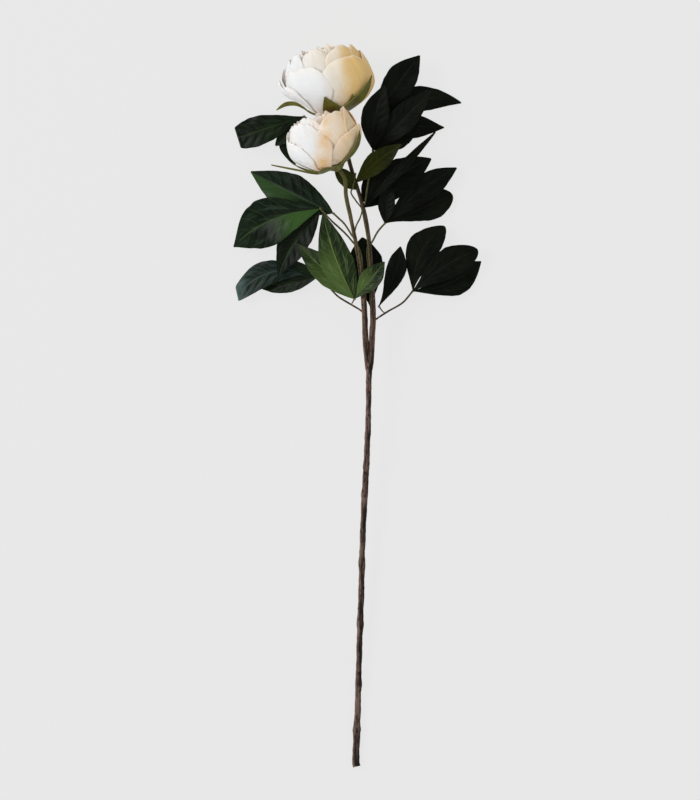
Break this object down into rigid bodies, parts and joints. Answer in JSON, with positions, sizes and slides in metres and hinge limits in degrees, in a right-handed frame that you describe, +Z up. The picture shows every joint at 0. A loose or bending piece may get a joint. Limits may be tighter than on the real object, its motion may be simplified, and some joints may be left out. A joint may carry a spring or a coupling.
{
  "type": "peony stem",
  "caption": "Long cut peony stem that forks into an upper and a lower cream bloom, with sprays of dark green leaflets on thin stalks, lying on a surface.",
  "frame": {"origin": "bottom centre of the bounding box, on the surface the stem lies on", "axes": "+Y along the stem from the cut end to the blooms, +Z up from the surface, +X to the right seen from above with the blooms at the top"},
  "size_m": [0.2608, 0.7574, 0.1182],
  "materials": {
    "bark": "dark brown bark, a little greener towards the blooms, with small nodes",
    "leaf_stalk": "brown to olive green, satin",
    "green_leaf": "dark green, slightly waxy, lighter midrib and side veins",
    "olive_leaf": "olive green, satin, fine veins",
    "calyx": "olive green to brown, matte",
    "upper_petals": "cream to peach, soft and translucent, matte",
    "lower_petals": "cream to blush, soft and translucent, matte"
  },
  "bodies": {
    "root": {"leaf_behind_1": "green_leaf", "leaf_behind_2": "green_leaf", "leaf_bract": "olive_leaf", "leaf_front_1": "green_leaf", "leaf_front_2": "green_leaf", "leaf_front_3": "green_leaf", "leaf_low_left_1": "green_leaf", "leaf_low_left_2": "green_leaf", "leaf_low_left_3": "green_leaf", "leaf_low_right_1": "green_leaf", "leaf_low_right_2": "green_leaf", "leaf_low_right_3": "green_leaf", "leaf_middle_left_1": "green_leaf", "leaf_middle_left_2": "green_leaf", "leaf_middle_left_3": "green_leaf", "leaf_middle_right_1": "green_leaf", "leaf_middle_right_2": "green_leaf", "leaf_middle_right_3": "green_leaf", "leaf_right_1": "green_leaf", "leaf_right_2": "green_leaf", "leaf_right_3": "green_leaf", "leaf_single": "olive_leaf", "leaf_top_left_1": "green_leaf", "leaf_top_left_2": "green_leaf", "leaf_top_left_3": "green_leaf", "leaf_top_right_1": "green_leaf", "leaf_top_right_2": "green_leaf", "leaf_top_right_3": "green_leaf", "leaf_upper_right_1": "green_leaf", "leaf_upper_right_2": "green_leaf", "leaf_upper_right_3": "green_leaf", "lower_bloom_stem": "bark", "lower_calyx": "calyx", "lower_heart": "lower_petals", "lower_petal_1": "lower_petals", "lower_petal_2": "lower_petals", "lower_petal_3": "lower_petals", "lower_petal_4": "lower_petals", "lower_petal_5": "lower_petals", "lower_petal_6": "lower_petals", "lower_petal_7": "lower_petals", "main_stem": "bark", "stalk_low_left": "leaf_stalk", "stalk_low_right": "leaf_stalk", "stalk_middle_left_lower": "leaf_stalk", "stalk_middle_left_upper": "leaf_stalk", "stalk_middle_right": "leaf_stalk", "stalk_top_left": "leaf_stalk", "stalk_top_right": "leaf_stalk", "upper_bloom_stem": "bark", "upper_calyx": "calyx", "upper_heart": "upper_petals", "upper_petal_1": "upper_petals", "upper_petal_2": "upper_petals", "upper_petal_3": "upper_petals", "upper_petal_4": "upper_petals", "upper_petal_5": "upper_petals", "upper_petal_6": "upper_petals", "upper_petal_7": "upper_petals", "upper_petal_8": "upper_petals"}
  },
  "joints": []
}
